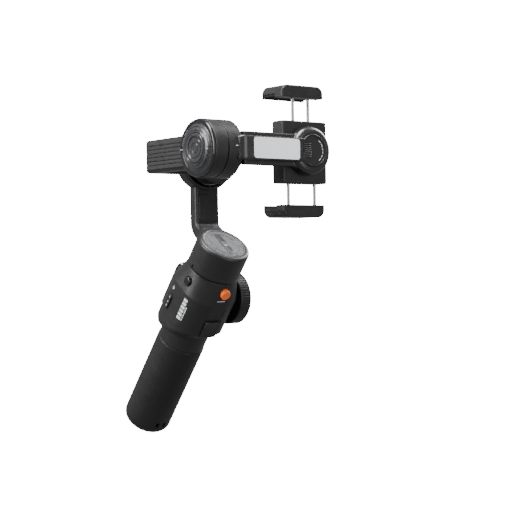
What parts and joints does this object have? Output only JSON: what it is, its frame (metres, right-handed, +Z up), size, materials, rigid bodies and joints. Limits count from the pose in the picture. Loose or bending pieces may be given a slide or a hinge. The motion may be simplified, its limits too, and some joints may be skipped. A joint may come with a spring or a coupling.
{
  "type": "gimbal stabilizer",
  "caption": "Hand-held three-axis phone gimbal: round grip, trigger, side wheel, leaning motor arms, light arm and sprung phone clamp.",
  "frame": {"origin": "mouth of the tripod thread, at the centre of the foot of the handle", "axes": "+Z up the handle, -Y towards the user's thumb panel, +Y towards the trigger, +X to the user's right"},
  "size_m": [0.1087, 0.1151, 0.3019],
  "materials": {
    "grip": "fine moulded texture",
    "shell": "matte moulded",
    "arm": "satin moulded",
    "gloss_panel": "gloss",
    "clear_cap": "clear",
    "cap_disc": "brushed look",
    "rubber_part": "matte",
    "diffuser": "frosted white",
    "orange_plastic": "satin",
    "record_red": "satin",
    "steel": "turned",
    "aluminium_part": "satin",
    "motor_copper": "wound wire",
    "magnet": "plated",
    "circuit_board": "solder mask",
    "battery_wrap": "shrink wrap",
    "led_lens": "clear tint"
  },
  "bodies": {
    "handle": {"grip_shell": "grip", "tripod_insert": "steel", "neck_collar": "shell", "battery_cells": "battery_wrap", "front_shell": "shell", "thumb_shell": "shell", "thumb_panel": "gloss_panel", "main_board": "circuit_board", "board_screws": "steel", "status_leds": "led_lens", "pan_motor_base": "aluminium_part", "pan_stator": "motor_copper", "pan_bearings": "steel", "wheel_axle": "steel", "trigger_pin": "steel"},
    "pan_stage": {"pan_arm": "arm", "pan_rotor": "arm", "pan_cap": "clear_cap", "pan_shaft": "steel", "pan_magnets": "magnet", "roll_stator": "motor_copper", "roll_bearings": "steel", "roll_back_cap": "gloss_panel", "pan_arm_cover": "shell"},
    "roll_stage": {"roll_arm": "arm", "ribbed_pad": "rubber_part", "roll_shaft": "steel", "roll_magnets": "magnet", "tilt_stator": "motor_copper", "tilt_bearings": "steel", "tilt_cap_ring": "gloss_panel", "tilt_cap_window": "clear_cap", "tilt_cap_disc": "cap_disc"},
    "tilt_stage": {"tilt_rotor": "arm", "tilt_shaft": "steel", "tilt_magnets": "magnet", "light_arm": "arm", "light_board": "circuit_board", "light_cover": "gloss_panel", "light_diffuser": "diffuser"},
    "clamp": {"clamp_block": "arm", "clamp_back_pad": "rubber_part", "jaw_springs": "steel", "swivel_pin": "steel", "swivel_cap": "shell"},
    "upper_jaw": {"upper_jaw": "arm", "upper_rods": "steel", "upper_jaw_pad": "rubber_part"},
    "lower_jaw": {"lower_jaw": "arm", "lower_rods": "steel", "lower_jaw_pad": "rubber_part"},
    "focus_wheel": {"focus_wheel": "shell"},
    "wheel_button": {"wheel_button": "shell"},
    "trigger": {"trigger": "shell"},
    "orange_button": {"orange_button": "orange_plastic"},
    "round_button": {"round_button": "gloss_panel"},
    "pill_button": {"pill_button": "shell"},
    "record_button": {"record_button": "record_red"},
    "joystick_yoke": {"joystick_yoke": "steel"},
    "joystick": {"joystick": "rubber_part"}
  },
  "joints": [
    {"name": "pan", "type": "hinge", "parent": "handle", "child": "pan_stage", "pos_m": [0, 0, 0.2575], "axis": [0, 0, 1], "range_deg": [-165, 165]},
    {"name": "roll", "type": "hinge", "parent": "pan_stage", "child": "roll_stage", "pos_m": [0, 0, 0.2575], "axis": [0, 0.788, 0.6157], "range_deg": [-150, 50]},
    {"name": "tilt", "type": "hinge", "parent": "roll_stage", "child": "tilt_stage", "pos_m": [0, 0, 0.2575], "axis": [1, 0, 0], "range_deg": [-110, 110]},
    {"name": "clamp_swivel", "type": "hinge", "parent": "tilt_stage", "child": "clamp", "pos_m": [-0.0256, 0, 0.2575], "axis": [0, 0.788, 0.6157], "range_deg": [0, 90]},
    {"name": "upper_jaw_slide", "type": "slide", "parent": "clamp", "child": "upper_jaw", "axis": [0, -0.6157, 0.788], "range_m": [-0.01, 0.006], "stiffness_N_per_m": 150},
    {"name": "lower_jaw_slide", "type": "slide", "parent": "clamp", "child": "lower_jaw", "axis": [0, 0.6157, -0.788], "range_m": [-0.01, 0.006], "stiffness_N_per_m": 150},
    {"name": "wheel_spin", "type": "hinge", "parent": "handle", "child": "focus_wheel", "pos_m": [-0.029, 0, 0.124], "axis": [1, 0, 0], "continuous": true},
    {"name": "wheel_button_press", "type": "slide", "parent": "handle", "child": "wheel_button", "axis": [1, 0, 0], "range_m": [0, 0.0008], "stiffness_N_per_m": 300},
    {"name": "trigger_pull", "type": "hinge", "parent": "handle", "child": "trigger", "pos_m": [0, 0.0185, 0.118], "axis": [-1, 0, 0], "range_deg": [0, 6], "stiffness_Nm_per_rad": 0.15},
    {"name": "orange_button_press", "type": "slide", "parent": "handle", "child": "orange_button", "axis": [0, -1, 0], "range_m": [0, 0.001], "stiffness_N_per_m": 300},
    {"name": "round_button_press", "type": "slide", "parent": "handle", "child": "round_button", "axis": [-1, 0, 0], "range_m": [0, 0.0008], "stiffness_N_per_m": 300},
    {"name": "pill_button_press", "type": "slide", "parent": "handle", "child": "pill_button", "axis": [-0.9397, 0.342, 0], "range_m": [0, 0.0008], "stiffness_N_per_m": 300},
    {"name": "record_button_press", "type": "slide", "parent": "handle", "child": "record_button", "axis": [0, 1, 0], "range_m": [0, 0.0008], "stiffness_N_per_m": 300},
    {"name": "joystick_up_down", "type": "hinge", "parent": "handle", "child": "joystick_yoke", "pos_m": [0, -0.0203, 0.124], "axis": [1, 0, 0], "range_deg": [-10, 10], "stiffness_Nm_per_rad": 0.05},
    {"name": "joystick_left_right", "type": "hinge", "parent": "joystick_yoke", "child": "joystick", "pos_m": [0, -0.0203, 0.124], "axis": [0, 0, 1], "range_deg": [-10, 10], "stiffness_Nm_per_rad": 0.05}
  ],
  "couplings": [
    {"joint": "lower_jaw_slide", "follows": "upper_jaw_slide", "ratio": 1}
  ]
}
